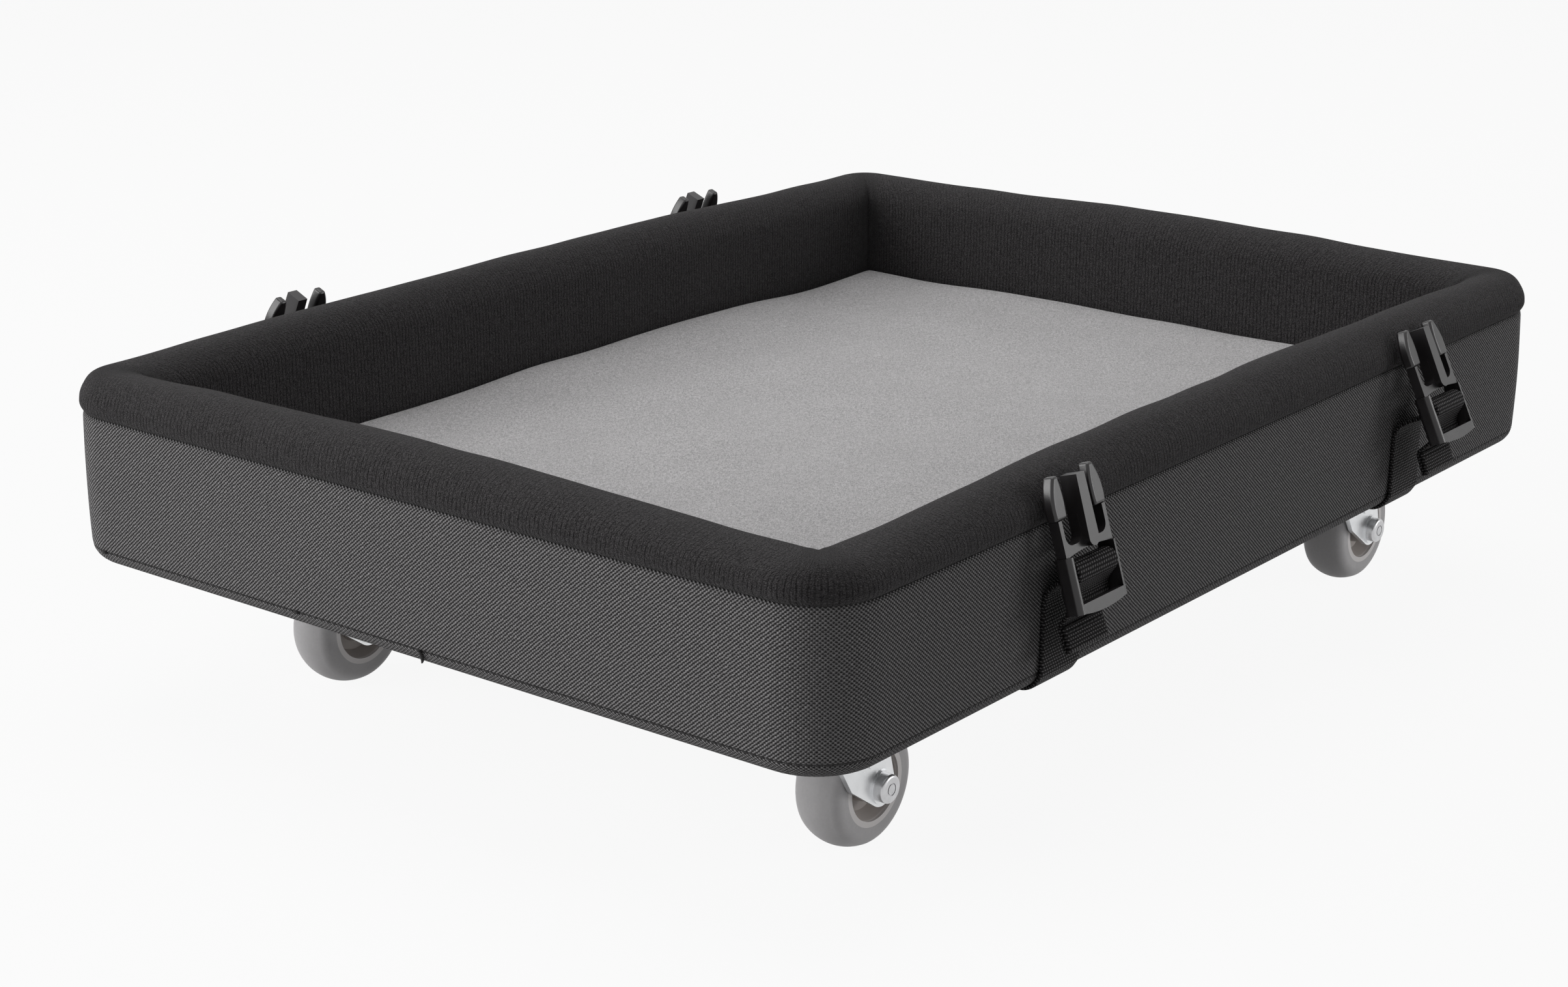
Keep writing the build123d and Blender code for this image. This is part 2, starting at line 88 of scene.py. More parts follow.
def screen_grey(level, warmth=0.0):
    """A near-neutral colour from its 0 to 255 screen level, with red up and blue down by the warmth."""
    channels = (level + 1 + warmth, level - 1, level - warmth)
    return tuple((channel / 255) ** 2.2 for channel in channels)


def length(name, description, default):
    """A length property in metres."""
    return FloatProperty(
        name=name, description=description, default=default, unit="LENGTH", subtype="DISTANCE"
    )


def colour(name, description, default):
    """A colour property."""
    return FloatVectorProperty(
        name=name, description=description, default=default, subtype="COLOR", size=3, min=0, max=1
    )


class TraySizes(PropertyGroup):
    """Lengths of the cloth parts."""

    corner_radius: length("Corner radius", "Outer corners of the casing in plan", 27 * MM)
    wall: length("Wall", "Thickness of the padded wall", 30 * MM)
    well_corner: length("Well corner", "Inner corners of the tray in plan", 6 * MM)
    roll_radius: length("Roll radius", "Outer round of the rim", 14 * MM)
    roll_inner_radius: length("Inner roll radius", "Inner round of the rim", 14 * MM)
    lower_edge: length("Lower edge", "Round of the casing's lower edge", 8 * MM)
    cloth: length("Cloth", "Thickness of the casing cloth", 1.5 * MM)
    stitch_pitch: length("Stitch pitch", "From one hem stitch to the next", 3.4 * MM)
    weave_pitch: length("Weave pitch", "From one yarn float to the next along a row", 1.74 * MM)
    weave_rows: length("Weave rows", "Two rows of the casing weave", 1.49 * MM)
    rib_pitch: length("Rib pitch", "From rib to rib of the lining knit", 2.0 * MM)
    webbing_width: length("Webbing width", "Width of a strap", 25 * MM)
    webbing_thickness: length("Webbing thickness", "Thickness of a strap", 1.6 * MM)
    bead_rows: length("Bead rows", "From row to row of a strap's yarn beads", 1.25 * MM)
    bead_pitch: length("Bead pitch", "From bead to bead across a strap", 1.45 * MM)


class TrayColours(PropertyGroup):
    """Colours of the finishes."""

    casing_yarn: colour("Casing yarn", "Raised yarns of the casing", screen_grey(183))
    # Painted shade: the dark colour between the yarns stands for the shade in the weave's gaps.
    casing_gap_shade: colour("Casing gap", "Between the yarns of the casing", screen_grey(24))
    knit: colour("Knit", "Ribs of the lining", screen_grey(84))
    knit_gap: colour("Knit gap", "Between the ribs of the lining", screen_grey(15))
    felt: colour("Felt", "Floor of the tray", screen_grey(171))
    webbing: colour("Webbing", "Straps between their beads", screen_grey(10))
    # Painted highlight: the black beads are coloured light grey for the shine on their tops.
    bead_and_highlight: colour("Bead", "Raised yarn beads of the straps", screen_grey(100))
    thread: colour("Thread", "Stitches", screen_grey(30))
    buckle: colour("Buckle", "Moulded buckle", screen_grey(36))
    tyre: colour("Tyre", "Wheel rubber", screen_grey(184))
    hub: colour("Hub", "Wheel dish", screen_grey(178, 5))
    hub_ring: colour("Hub ring", "Pale ring round the dish", screen_grey(215, 2))
    zinc: colour("Zinc", "Pressed forks and plates", (0.78, 0.79, 0.80))
    steel: colour("Steel", "Bolts, rivets and axles", (0.62, 0.62, 0.63))
    plywood: colour("Plywood", "Board inside the tray", (0.46, 0.31, 0.17))
    floor: colour("Floor", "Studio floor", (0.6, 0.6, 0.6))


class Wire:
    """A socket of a finish that sums can be written with; each sum adds its Math node."""

    def __init__(self, finish, socket):
        self.finish = finish
        self.socket = socket

    def math(self, operation, *terms):
        return self.finish.node("ShaderNodeMath", {"operation": operation}, dict(enumerate(terms)))

    def __add__(self, other):
        return self.math("ADD", self, other)

    def __radd__(self, other):
        return self.math("ADD", other, self)

    def __sub__(self, other):
        return self.math("SUBTRACT", self, other)

    def __rsub__(self, other):
        return self.math("SUBTRACT", other, self)

    def __mul__(self, other):
        return self.math("MULTIPLY", self, other)

    def __rmul__(self, other):
        return self.math("MULTIPLY", other, self)

    def __pow__(self, other):
        return self.math("POWER", self, other)

    def sine(self):
        return self.math("SINE", self)

    def size(self):
        return self.math("ABSOLUTE", self)

    def largest(self, other):
        return self.math("MAXIMUM", self, other)

    def part(self, axis):
        """One axis of a vector."""
        return self.finish.node("ShaderNodeSeparateXYZ", None, {0: self}, axis)

    def rise(self, low, high):
        """0 below low, 1 above high and an even curve between them."""
        return self.finish.node(
            "ShaderNodeMapRange",
            {"interpolation_type": "SMOOTHSTEP"},
            {"Value": self, "From Min": low, "From Max": high},
        )


class Finish:
    """A material, and the nodes that feed its Principled shader."""

    def __init__(self, name, **constants):
        self.material = bpy.data.materials.new(name)
        self.material.use_nodes = True
        self.tree = self.material.node_tree
        self.shader = self.tree.nodes["Principled BSDF"]
        for key, value in constants.items():
            self.feed(key.replace("_", " ").title().replace("Ior", "IOR"), value)

    def join(self, socket, value):
        if isinstance(value, Wire):
            self.tree.links.new(value.socket, socket)
        elif socket.type == "RGBA" and len(value) == 3:
            socket.default_value = (*value, 1)
        else:
            socket.default_value = value

    def feed(self, name, value):
        self.join(self.shader.inputs[name], value)

    def node(self, kind, settings=None, sockets=None, output=0):
        """Any node: its settings first, then the values or links of its sockets, by name or place."""
        made = self.tree.nodes.new(kind)
        for key, value in (settings or {}).items():
            setattr(made, key, value)
        ready = [socket for socket in made.inputs if socket.enabled]
        for key, value in (sockets or {}).items():
            named = [socket for socket in ready if socket.name == key]
            self.join(named[0] if named else ready[key], value)
        given = [socket for socket in made.outputs if socket.enabled]
        named = [socket for socket in given if socket.name == output]
        return Wire(self, named[0] if named else given[output])

    def mix(self, share, first, second):
        """From the first colour to the second."""
        return self.node(
            "ShaderNodeMix", {"data_type": "RGBA"}, {"Factor": share, "A": first, "B": second}, "Result"
        )

    def tone(self, share, base, low, high=1.0):
        """Colours the surface from a darker shade of a colour to a lighter one."""
        self.feed("Base Color", self.mix(share, shaded(base, low), shaded(base, high)))

    def place(self):
        """The piece's own coordinates in metres."""
        return self.node("ShaderNodeTexCoord", output="Object")

    def cloth(self):
        """Where a point lies on its cloth, in metres."""
        return self.node("ShaderNodeUVMap", {"uv_map": "cloth"})

    def facing(self, axis):
        """How far the surface faces along an axis, from -1 to 1."""
        return self.node("ShaderNodeNewGeometry", output="Normal").part(axis)

    def grain(self, spot, size, detail=2.0, roughness=0.5):
        """Even noise from 0 to 1 whose lumps are about the size given, in metres."""
        return self.node(
            "ShaderNodeTexNoise",
            None,
            {"Vector": spot, "Scale": 1 / size, "Detail": detail, "Roughness": roughness},
        )

    def cells(self, spot, size):
        """Packed round grains of about the size given, in metres: 1 at their middles, 0 between them."""
        gaps = self.node("ShaderNodeTexVoronoi", None, {"Vector": spot, "Scale": 1 / size}, "Distance")
        return 1 - gaps.rise(0.1, 0.75)

    def stretched(self, spot, factors):
        """The same place with each axis scaled."""
        return self.node("ShaderNodeVectorMath", {"operation": "MULTIPLY"}, {0: spot, 1: factors})

    def background_ray(self):
        """1 for what is seen, straight, mirrored or through something clear, and 0 for light."""
        seen = self.node("ShaderNodeLightPath", output="Is Camera Ray")
        mirrored = self.node("ShaderNodeLightPath", output="Is Glossy Ray")
        through = self.node("ShaderNodeLightPath", output="Is Transmission Ray")
        return seen.largest(mirrored).largest(through)

    def relief(self, height, depth, strength=1.0):
        """Raises the surface by the height, which runs from 0 to 1, times the depth in metres."""
        self.feed(
            "Normal",
            self.node("ShaderNodeBump", None, {"Height": height, "Distance": depth, "Strength": strength}),
        )


class Sky(Finish):
    """The world's nodes, written as a finish is."""

    def __init__(self, world):
        self.tree = world.node_tree
        self.shader = self.tree.nodes["Background"]


def sizes():
    return bpy.context.scene.tray_sizes


def colours():
    return bpy.context.scene.tray_colours


def shaded(base, factor):
    """A colour made darker or lighter."""
    return tuple(channel * factor for channel in base)


def basket_weave(name, tightness):
    """Coarse basket weave: its floats form ridges that rise on the tray's ends and fall on its sides; this
    swap is painted light, the relief shaded in colour as the lamps fall on each face.
    """
    finish = Finish(name, sheen_weight=0.05, sheen_roughness=0.5, specular_ior_level=0.08)
    spot = finish.cloth()
    on_end = finish.facing("X") ** 2.0
    sway = (finish.grain(spot, 8 * MM) - 0.5) * 1.6
    jitter = (finish.grain(spot, 1.6 * MM, 1.0) - 0.5) * 1.5
    warp = spot.part("X") * (TURN / sizes().weave_pitch) + sway + jitter
    weft = spot.part("Y") * (TURN / sizes().weave_rows * tightness) + sway * 0.6 - jitter
    rising = (warp - weft).sine()
    falling = (warp + weft).sine()
    # Painted light: the stronger diagonal swaps between the ends and the sides, as the lamps' slant across
    # each face would shade the ridges.
    slants_and_painted_light = falling * 0.68 + rising * 0.32 + (rising - falling) * on_end * 0.42
    ridges = slants_and_painted_light + (weft * 2.0).sine() * 0.22
    floats_and_painted_light = ridges.rise(-0.7, 0.6)
    fibres = finish.grain(finish.stretched(spot, (3.0, 1.0, 1.0)), 0.5 * MM)
    uneven = finish.grain(spot, 1.3 * MM, 1.0)
    share = (0.05 + floats_and_painted_light * 0.52) * (0.4 + uneven * 0.9) * (0.6 + fibres * 0.8)
    # The colour runs from the painted gap shade to the yarn along the floats, so it also carries the slants'
    # painted light.
    finish.feed("Base Color", finish.mix(share, colours().casing_gap_shade, colours().casing_yarn))
    finish.feed("Roughness", 0.84 - floats_and_painted_light * 0.24)
    finish.relief(ridges * (0.9 - on_end * 0.45) + fibres * 0.16, 0.8 * MM, 1.0)
    return finish.material


def loop_knit():
    """Brushed ribbed knit: small loops raised into fleece, over ribs that show least on the level rim; the
    larger dark gaps on the walls are painted shade.
    """
    finish = Finish("loop_knit", sheen_weight=0.1, sheen_roughness=0.4, specular_ior_level=0.05)
    spot = finish.cloth()
    level = finish.facing("Z").rise(0.1, 0.9)
    wander = (finish.grain(finish.stretched(spot, (1.0, 0.3, 1.0)), 6 * MM) - 0.5) * 2.4
    rib = (spot.part("X") * (TURN / 2 / sizes().rib_pitch) + wander).sine().size()
    broken = finish.grain(finish.stretched(spot, (1.0, 0.5, 1.0)), 2.4 * MM).rise(0.3, 0.65)
    # Painted shade: the dark rib gaps take a bigger share on the walls than on the level top, darkening the
    # walls.
    gap = (1 - rib.rise(0.0, 0.8)) * (0.25 + broken * 0.75) * (0.7 - level * 0.28)
    loops = finish.cells(spot, 0.8 * MM)
    fuzz = finish.grain(spot, 0.55 * MM, 2.0, 0.65).rise(0.28, 0.72)
    tufts = finish.grain(spot, 2.2 * MM, 2.0)
    specks = finish.grain(spot, 0.5 * MM, 1.0).rise(0.68, 0.82)
    share = (1 - gap) * (0.1 + loops * 0.3 + fuzz * 0.5) * (0.6 + tufts * 0.8)
    cloth = finish.mix(share, colours().knit_gap, colours().knit)
    finish.feed("Base Color", finish.mix(specks * 0.5, cloth, shaded(colours().knit, 2.8)))
    finish.feed("Roughness", 0.95 - fuzz * 0.06)
    finish.relief((1 - gap) * 0.35 + loops * 0.2 + fuzz * 0.3 + tufts * 0.15, 0.9 * MM, 1.0)
    return finish.material


def grey_felt():
    """Pressed felt: an even grey of very fine fibres, with a nap that lies slantwise across the tray."""
    finish = Finish("grey_felt", sheen_weight=0.25, sheen_roughness=0.6, specular_ior_level=0.1)
    spot = finish.place()
    slant = math.radians(51)
    turned = finish.node(
        "ShaderNodeVectorRotate", {"rotation_type": "Z_AXIS"}, {"Vector": spot, "Angle": slant}
    )
    nap = finish.stretched(turned, (1.0, 0.42, 1.0))
    fibres = finish.grain(nap, 1.1 * MM, 3.0, 0.6)
    clouds = finish.grain(spot, 30 * MM, 3.0)
    grit = finish.grain(nap, 0.5 * MM, 2.0, 0.6)
    tone = fibres * 0.34 + grit * 0.6 + clouds * 0.06
    finish.tone(tone.rise(0.3, 0.7), colours().felt, 0.6, 1.36)
    finish.feed("Roughness", 0.9 + grit * 0.08)
    finish.relief(fibres * 0.4 + grit * 0.6, 0.5 * MM, 0.7)
    return finish.material


def strap_weave():
    """Woven webbing: rows of slanted yarn beads across the strap, each row half a bead on from the last,
    their tops lit by a painted highlight.
    """
    finish = Finish("strap_weave", specular_ior_level=0.06)
    spot = finish.cloth()
    rows = spot.part("Y") * (TURN / 2 / sizes().bead_rows)
    beads = spot.part("X") * (TURN / 2 / sizes().bead_pitch)
    wander = (finish.grain(spot, 3 * MM) - 0.5) * 0.8
    row = (rows + wander).sine().size()
    bead_and_highlight = (beads + rows * 0.5 + wander).sine().size()
    fibres = finish.grain(finish.stretched(spot, (1.0, 2.5, 1.0)), 0.35 * MM)
    height = row.rise(0.3, 0.95) * (0.1 + bead_and_highlight.rise(0.25, 0.95) * 0.9)
    # Painted highlight: the raised beads run to a far lighter colour than the black webbing between them.
    share = height * (0.15 + fibres * 1.2)
    finish.feed("Base Color", finish.mix(share, colours().webbing, colours().bead_and_highlight))
    finish.feed("Roughness", 0.66 - height * 0.2)
    finish.relief(height + fibres * 0.15, 0.8 * MM, 1.0)
    return finish.material


def sewing_thread():
    """Twisted thread."""
    finish = Finish("sewing_thread", specular_ior_level=0.35)
    spot = finish.place()
    twist_pitch = 0.5 * MM
    slantwise = spot.part("X") + spot.part("Y") + spot.part("Z")
    twist = (slantwise * (TURN / twist_pitch)).sine() * 0.5 + 0.5
    finish.tone(twist, colours().thread, 0.5)
    finish.feed("Roughness", 0.75 - twist * 0.15)
    finish.relief(twist, 0.1 * MM)
    return finish.material


def moulded_plastic():
    """Black moulded plastic: satin, with a fine skin and rubbed patches."""
    finish = Finish("moulded_plastic", specular_ior_level=0.5)
    spot = finish.place()
    skin = finish.grain(spot, 0.35 * MM, 2.0)
    rubbed = finish.grain(spot, 6 * MM, 3.0)
    finish.tone(rubbed, colours().buckle, 0.75)
    finish.feed("Roughness", 0.24 + rubbed * 0.1 + skin * 0.04)
    finish.relief(skin, 0.03 * MM, 0.5)
    return finish.material


def from_axle(finish, corner):
    """Where a point of a wheel is, and how far that is from the wheel's axle."""
    centre = JOINT_AT["wheel_spin_" + corner]
    spot = finish.place()
    aside = spot.part("X") - centre.x
    above = spot.part("Z") - centre.z
    return spot, (aside ** 2.0 + above ** 2.0) ** 0.5


def tyre_rubber(corner):
    """Grey wheel rubber: dusty patches, darker on the tread than on the wall."""
    finish = Finish("tyre_rubber_" + corner, specular_ior_level=0.4)
    spot, radius = from_axle(finish, corner)
    dust = finish.grain(spot, 1.1 * MM, 3.0)
    patches = finish.grain(spot, 8 * MM, 2.0)
    tread = radius.rise(22.5 * MM, 25 * MM)
    share = 0.25 + patches * 0.4 + dust * 0.35 - tread * 0.2
    finish.tone(share, colours().tyre, 0.72, 1.12)
    finish.feed("Roughness", 0.44 + dust * 0.14 + tread * 0.1)
    finish.relief(dust, 0.05 * MM, 0.5)
    return finish.material


def hub_plastic(corner):
    """Moulded hub: a warm grey dish inside a paler ring."""
    finish = Finish("hub_plastic_" + corner, specular_ior_level=0.5)
    spot, radius = from_axle(finish, corner)
    skin = finish.grain(spot, 0.5 * MM, 2.0)
    flow = finish.grain(spot, 5 * MM, 2.0)
    ring = radius.rise(13.7 * MM, 14.1 * MM)
    dish = finish.mix(flow, shaded(colours().hub, 0.8), colours().hub)
    finish.feed("Base Color", finish.mix(ring, dish, colours().hub_ring))
    finish.feed("Roughness", 0.36 + skin * 0.08 + flow * 0.08)
    finish.relief(skin, 0.03 * MM, 0.5)
    return finish.material


def bright_zinc():
    """Zinc plating on pressed steel: bright, with soft drawing marks and cloudy patches."""
    finish = Finish("bright_zinc", metallic=1.0)
    spot = finish.place()
    clouds = finish.grain(spot, 5 * MM, 3.0)
    drawn = finish.grain(finish.stretched(spot, (1.0, 1.0, 0.12)), 0.5 * MM, 2.0)
    finish.tone(clouds, colours().zinc, 0.78)
    finish.feed("Roughness", 0.2 + clouds * 0.14 + drawn * 0.08)
    finish.relief(drawn * 0.5 + clouds * 0.5, 0.05 * MM, 0.5)
    return finish.material


def turned_steel():
    """Plain steel of the bolts, nuts, rivets and axles."""
    finish = Finish("turned_steel", metallic=1.0)
    clouds = finish.grain(finish.place(), 2.5 * MM, 2.0)
    finish.tone(clouds, colours().steel, 0.7)
    finish.feed("Roughness", 0.26 + clouds * 0.14)
    finish.relief(clouds, 0.03 * MM, 0.4)
    return finish.material


def plywood_face():
    """Birch face of the inner board, with the grain along the tray."""
    finish = Finish("plywood_face", specular_ior_level=0.3)
    grain = finish.grain(finish.stretched(finish.place(), (0.06, 1.0, 1.0)), 3 * MM, 4.0)
    finish.tone(grain, colours().plywood, 0.7)
    finish.feed("Roughness", 0.6 + grain * 0.15)
    finish.relief(grain, 0.1 * MM, 0.4)
    return finish.material


# Points along the long and the short sides of the plan and round each corner
LONG_STEPS = 72
SHORT_STEPS = 50
CORNER_STEPS = 12


def plan_points():
    """The points round the tray: the corner each follows, its share of the way to the next, its normal."""
    made = []
    for corner, steps in enumerate((LONG_STEPS, SHORT_STEPS, LONG_STEPS, SHORT_STEPS)):
        for step in range(CORNER_STEPS + 1):
            angle = TURN / 4 * (corner + step / CORNER_STEPS)
            made.append((corner, 0.0, Vector((math.cos(angle), math.sin(angle), 0))))
        angle = TURN / 4 * (corner + 1)
        side_normal = Vector((math.cos(angle), math.sin(angle), 0))
        made += [(corner, step / steps, side_normal) for step in range(1, steps)]
    return made


PLAN = plan_points()


def plan_row(offset, radius, z=0.0):
    """One row of points round the tray at an offset from the casing's face."""
    reach_x = HALF_LENGTH + offset - radius
    reach_y = HALF_WIDTH + offset - radius
    centres = [Vector((x * reach_x, y * reach_y, z)) for x, y in ((1, 1), (-1, 1), (-1, -1), (1, -1))]
    return [centres[at].lerp(centres[(at + 1) % 4], share) + radius * normal for at, share, normal in PLAN]


def round_the_tray():
    """The distance of each point round the casing, with the whole way round as the last entry."""
    row = plan_row(0.0, sizes().corner_radius)
    ways = [0.0]
    for first, second in zip(row, row[1:] + row[:1]):
        ways.append(ways[-1] + (second - first).length)
    return ways


def clamped(share):
    """A share held between 0 and 1."""
    return min(max(share, 0.0), 1.0)


def band_faces(low, high, count):
    """The faces between two closed rows of points, from the first number of each row."""
    faces = []
    for here in range(count):
        after = (here + 1) % count
        faces.append((low + here, low + after, high + after, high + here))
    return faces


def make_mesh(name, points, faces, spots=()):
    """A smooth mesh with its faces turned outwards and, if spots are given, its cloth coordinates."""
    mesh = bpy.data.meshes.new(name)
    mesh.from_pydata([tuple(point) for point in points], [], faces)
    if spots:
        layer = mesh.uv_layers.new(name="cloth")
        for place, spot in zip(layer.uv, spots):
            place.vector = spot
    work = bmesh.new()
    work.from_mesh(mesh)
    bmesh.ops.recalc_face_normals(work, faces=work.faces)
    work.to_mesh(mesh)
    work.free()
    mesh.shade_smooth()
    return mesh


def lofted(name, rows, rises, closed=False, caps=False):
    """A mesh through rows of points, with its cloth coordinates in metres and, if asked, flat ends."""
    count = len(PLAN)
    ways = round_the_tray()
    closing_rise = 2 * MM
    faces = []
    spots = []
    bands = len(rows) if closed else len(rows) - 1
    for band in range(bands):
        upper = (band + 1) % len(rows)
        top = rises[upper] if upper else rises[-1] + closing_rise
        faces += band_faces(band * count, upper * count, count)
        for here in range(count):
            spots += [
                (ways[here], rises[band]),
                (ways[here + 1], rises[band]),
                (ways[here + 1], top),
                (ways[here], top),
            ]
    if caps:
        last = (len(rows) - 1) * count
        faces.append(tuple(range(count)))
        spots += [tuple(point[:2]) for point in rows[0]]
        faces.append(tuple(last + here for here in range(count)))
        spots += [tuple(point[:2]) for point in rows[-1]]
    return make_mesh(name, [point for row in rows for point in row], faces, spots)


def place_piece(name, mesh, finish, body=None):
    """Puts a mesh in the scene with its finish, and lets it ride on a body if one is named."""
    made = bpy.data.objects.new(name, mesh)
    bpy.context.scene.collection.objects.link(made)
    mesh.materials.append(finish)
    if body:
        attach(made, body)
    return made


def profile_ways(profile):
    """Running length along a profile of (offset, height) points."""
    ways = [0.0]
    for first, second in zip(profile, profile[1:]):
        ways.append(ways[-1] + math.dist(first, second))
    return ways


# Rings of a stitch: the place along its half length, its girth and its lift, as shares
STITCH_RINGS = (
    (-1.0, 0.55, -0.9),
    (-0.75, 0.95, -0.1),
    (0.0, 1.0, 0.25),
    (0.75, 0.95, -0.1),
    (1.0, 0.55, -0.9),
)


def stitches(name, spots, long, thick):
    """Short threads that dive into the cloth at both ends; a spot is a middle, a run and an outward side."""
    sides = 6
    points = []
    faces = []
    for middle, run, out in spots:
        across = run.cross(out)
        first = len(points)
        for share, girth, lift in STITCH_RINGS:
            core = middle + run * (share * long / 2) + out * (lift * thick / 2)
            for side in range(sides):
                angle = TURN * side / sides
                ray = across * math.cos(angle) + out * math.sin(angle)
                points.append(core + ray * (girth * thick / 2))
        last = len(points) - sides
        for low in range(first, last, sides):
            faces += band_faces(low, low + sides, sides)
        faces.append(tuple(range(first, first + sides)))
        faces.append(tuple(range(last, last + sides)))
    return make_mesh(name, points, faces)


class TRAY_OT_casing(Operator):
    """The woven side band of the cover, pulled in at the hem's stitch line and under the rim"""

    bl_idname = "tray.casing"
    bl_label = "Casing"

    def execute(self, context):
        size = sizes()
        face_steps = 14
        swell = 0.5 * MM
        billow_depth = 0.5 * MM
        low = HEM_Z + 1.6 * MM
        high = SEAM_Z - 2.0 * MM
        profile = [
            (-1.3 * MM, HEM_Z - 0.1 * MM),
            (-0.5 * MM, HEM_Z + 0.1 * MM),
            (-0.1 * MM, HEM_Z + 0.7 * MM),
        ]
        shares = [0.0] * len(profile)
        for step in range(face_steps + 1):
            share = step / face_steps
            profile.append((swell * math.sin(math.pi * share), low + share * (high - low)))
            shares.append(math.sin(math.pi * share))
        tucked = [
            (-0.15 * MM, SEAM_Z - 1.0 * MM),
            (-0.7 * MM, SEAM_Z - 0.3 * MM),
            (-1.3 * MM, SEAM_Z),
            (-size.cloth, SEAM_Z - 0.3 * MM),
            (-size.cloth, HEM_Z + 0.2 * MM),
        ]
        profile += tucked
        shares += [0.0] * len(tucked)
        rows = []
        for (offset, z), share in zip(profile, shares):
            row = plan_row(offset, size.corner_radius + offset, z)
            for place, (at, way, normal) in enumerate(PLAN):
                billow = noise.noise(row[place] * 11.0) + 0.5 * noise.noise(row[place] * 27.0)
                row[place] += normal * (billow_depth * share * billow)
            rows.append(row)
        mesh = lofted("casing_band", rows, profile_ways(profile), closed=True)
        band = place_piece("casing_band", mesh, basket_weave("casing_weave", 1.0), "tray")
        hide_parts("casing")
        cut = (round_the_tray()[-1], SEAM_Z - HEM_Z)
        return {"FINISHED"}


# How far the hem's stitch line lies in from the casing's face
HEM_DIP = 0.45 * MM


def hem_seam():
    """The spots of the hem's stitches, evenly round the tray."""
    size = sizes()
    ways = round_the_tray()
    row = plan_row(-HEM_DIP, size.corner_radius, HEM_Z)
    count = int(ways[-1] / size.stitch_pitch)
    spots = []
    at = 0
    for number in range(count):
        way = ways[-1] * number / count
        while ways[at + 1] < way:
            at += 1
        share = (way - ways[at]) / (ways[at + 1] - ways[at])
        after = (at + 1) % len(row)
        run = (row[after] - row[at]).normalized()
        out = PLAN[at][2].lerp(PLAN[after][2], share).normalized()
        spots.append((row[at].lerp(row[after], share), run, out))
    return spots


class TRAY_OT_hem(Operator):
    """The turned-up hem with its rounded lower edge, the bottom panel and the row of stitches"""

    bl_idname = "tray.hem"
    bl_label = "Hem and bottom panel"

    def execute(self, context):
        size = sizes()
        edge = size.lower_edge
        start = math.asin((edge - (HEM_Z - COVER_Z) + 0.9 * MM) / edge)
        round_steps = 9
        turn = [start + (TURN / 4 - start) * step / round_steps for step in range(round_steps + 1)]
        outer = [(-1.4 * MM, HEM_Z + 0.1 * MM), (-HEM_DIP, HEM_Z - 0.15 * MM)]
        outer += [(edge * (math.cos(angle) - 1), COVER_Z + edge * (1 - math.sin(angle))) for angle in turn]
        panel_steps = 12
        slit = HALF_WIDTH - 4 * MM
        insets = [edge + (slit - edge) * step / panel_steps for step in range(1, panel_steps + 1)]
        outer += [(-inset, COVER_Z) for inset in insets]
        inner = [(-inset, COVER_Z + size.cloth) for inset in reversed(insets)]
        inner += [
            (-edge, COVER_Z + size.cloth),
            (-2.2 * MM, HEM_Z - 1.2 * MM),
            (-1.8 * MM, HEM_Z - 0.2 * MM),
        ]
        profile = inner + outer
        least_corner = 2 * MM
        rows = []
        for offset, z in profile:
            rows.append(plan_row(offset, max(size.corner_radius + offset, least_corner), z))
        mesh = lofted("hem_and_base", rows, profile_ways(profile), caps=True)
        base = place_piece("hem_and_base", mesh, basket_weave("hem_weave", 1.1), "tray")
        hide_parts("bottom_cover")
        along = Vector((0, -1, 0))
        face = Vector((-1, 0, 0))
        knots = [(Vector((-HALF_LENGTH, y, HEM_Z)), along, face) for y in (170 * MM, 58 * MM)]
        down = Vector((0.32, 0, -1)).normalized()
        lap = Vector((0.2 * MM - HALF_LENGTH, -8 * MM, HEM_Z - 1.9 * MM))
        laps = [(lap, down, along.cross(down))]
        thread = sewing_thread()
        for name, spots, long, thick in (
            ("hem_stitches", hem_seam(), size.stitch_pitch * 0.82, 0.75 * MM),
            ("hem_knots", knots, 2.6 * MM, 1.5 * MM),
            ("hem_lap", laps, 5.4 * MM, 1.4 * MM),
        ):
            place_piece(name, stitches(name, spots, long, thick), thread, "tray")
        return {"FINISHED"}


def rim_profile():
    """The padded wall in section, from the seam up over the roll, down the inside and back underneath."""
    size = sizes()
    under = 6 * MM
    under_degrees = 72
    under_steps = 6
    roll_steps = 10
    inner_steps = 8
    wall_steps = 11
    belly = CREST_Z - size.roll_radius
    points = []
    for step in range(under_steps):
        angle = math.radians(under_degrees * step / under_steps - under_degrees)
        points.append((OVERHANG - under + under * math.cos(angle), belly + under * math.sin(angle)))
    for step in range(roll_steps + 1):
        angle = TURN / 4 * step / roll_steps
        points.append((
            OVERHANG - size.roll_radius + size.roll_radius * math.cos(angle),
            belly + size.roll_radius * math.sin(angle),
        ))
    points.append(((OVERHANG - size.roll_radius - size.wall + size.roll_inner_radius) / 2, CREST_Z))
    inner_centre = -size.wall + size.roll_inner_radius
    wall_top = CREST_Z - size.roll_inner_radius
    wall_foot = BOARD_TOP + 1 * MM
    for step in range(inner_steps + 1):
        angle = TURN / 4 * (1 + step / inner_steps)
        points.append((
            inner_centre + size.roll_inner_radius * math.cos(angle),
            wall_top + size.roll_inner_radius * math.sin(angle),
        ))
    for step in range(1, wall_steps + 1):
        points.append((-size.wall, wall_top + (wall_foot - wall_top) * step / wall_steps))
    shown = len(points)
    back = -1.8 * MM
    points += [(-20 * MM, wall_foot), (-10 * MM, wall_foot), (back, wall_foot)]
    points += [(back, 100 * MM), (back, SEAM_Z - 6 * MM), (-1.6 * MM, SEAM_Z - 1.5 * MM)]
    return points, shown


def wall_corner(offset):
    """The plan radius of the padded wall at an offset: the casing's corner outside, the well's inside."""
    size = sizes()
    share = clamped(-offset / (0.7 * size.wall))
    return max(size.corner_radius + offset, size.well_corner) * (1 - share) + size.well_corner * share


